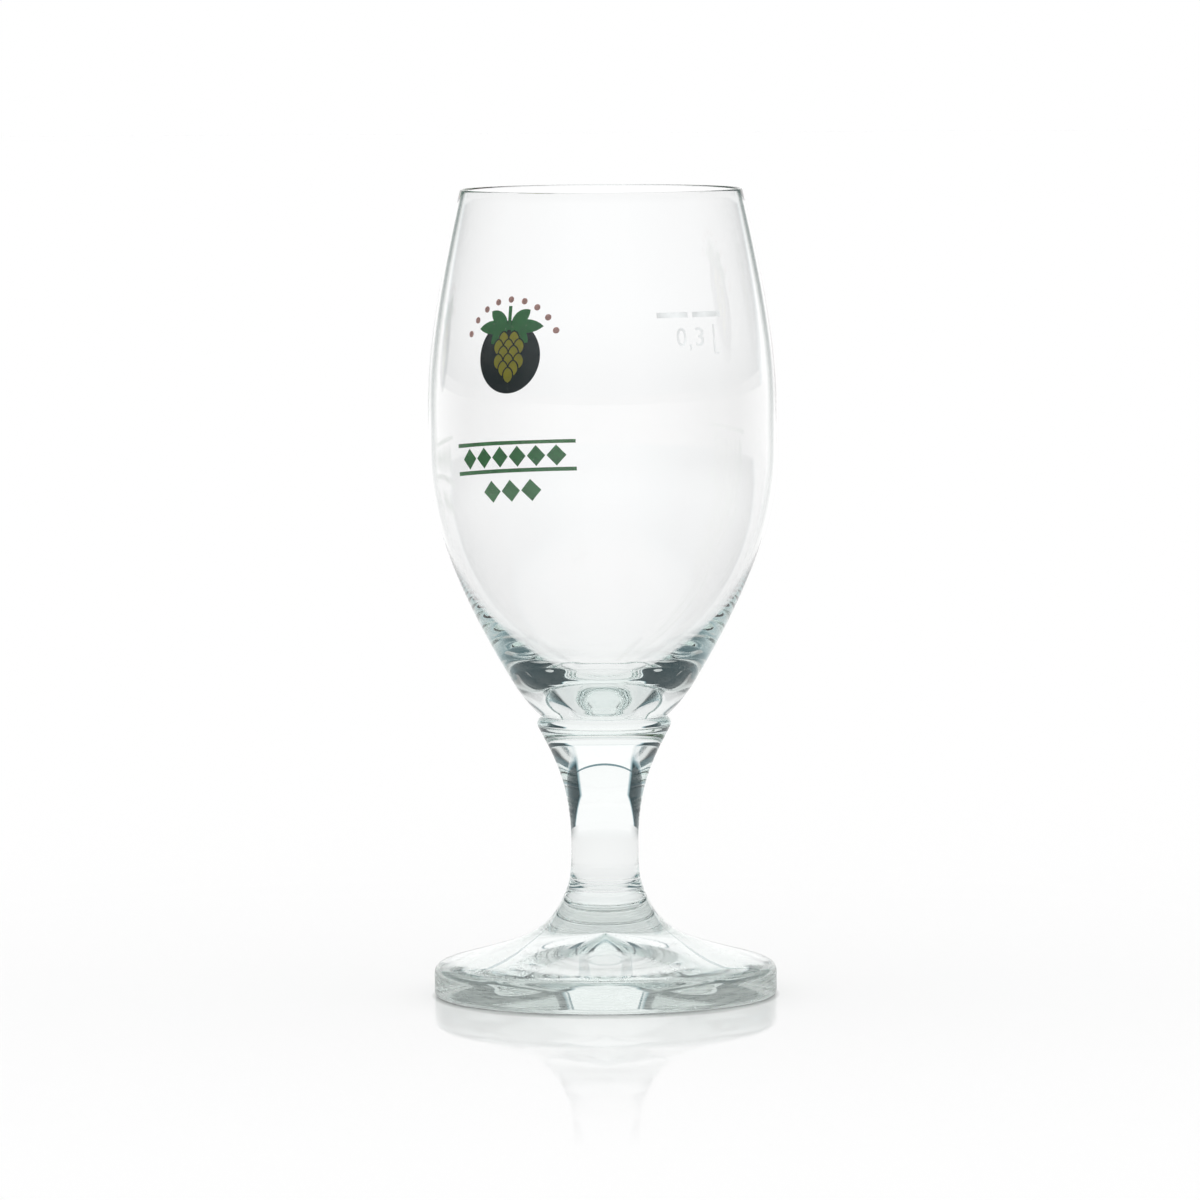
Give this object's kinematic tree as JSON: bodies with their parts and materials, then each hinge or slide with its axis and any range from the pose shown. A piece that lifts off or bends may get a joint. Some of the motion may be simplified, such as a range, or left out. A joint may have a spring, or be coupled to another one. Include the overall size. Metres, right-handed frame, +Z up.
{
  "type": "pilsner glass",
  "caption": "Stemmed beer glass: tall tulip bowl on a heavy clear base, short collared stem, wide pressed foot with a hollow underside, fired fill mark and hop print.",
  "frame": {"origin": "centre of the foot's resting plane, on the glass's axis", "axes": "+Z up along the glass's axis; -Y towards the picture's camera, +X to its right"},
  "size_m": [0.0786, 0.0786, 0.1825],
  "materials": {
    "glass": "clear soda-lime glass, fire-polished",
    "enamel_white": "fired screen-print enamel, satin",
    "enamel_dark": "fired screen-print enamel, satin",
    "enamel_green": "fired screen-print enamel, satin",
    "enamel_gold": "fired screen-print enamel, satin",
    "enamel_russet": "fired screen-print enamel, satin"
  },
  "bodies": {
    "root": {"bowl": "glass", "stem": "glass", "foot": "glass", "fill_mark": "enamel_white", "print_dark": "enamel_dark", "print_green": "enamel_green", "print_gold": "enamel_gold", "print_russet": "enamel_russet"}
  },
  "joints": []
}
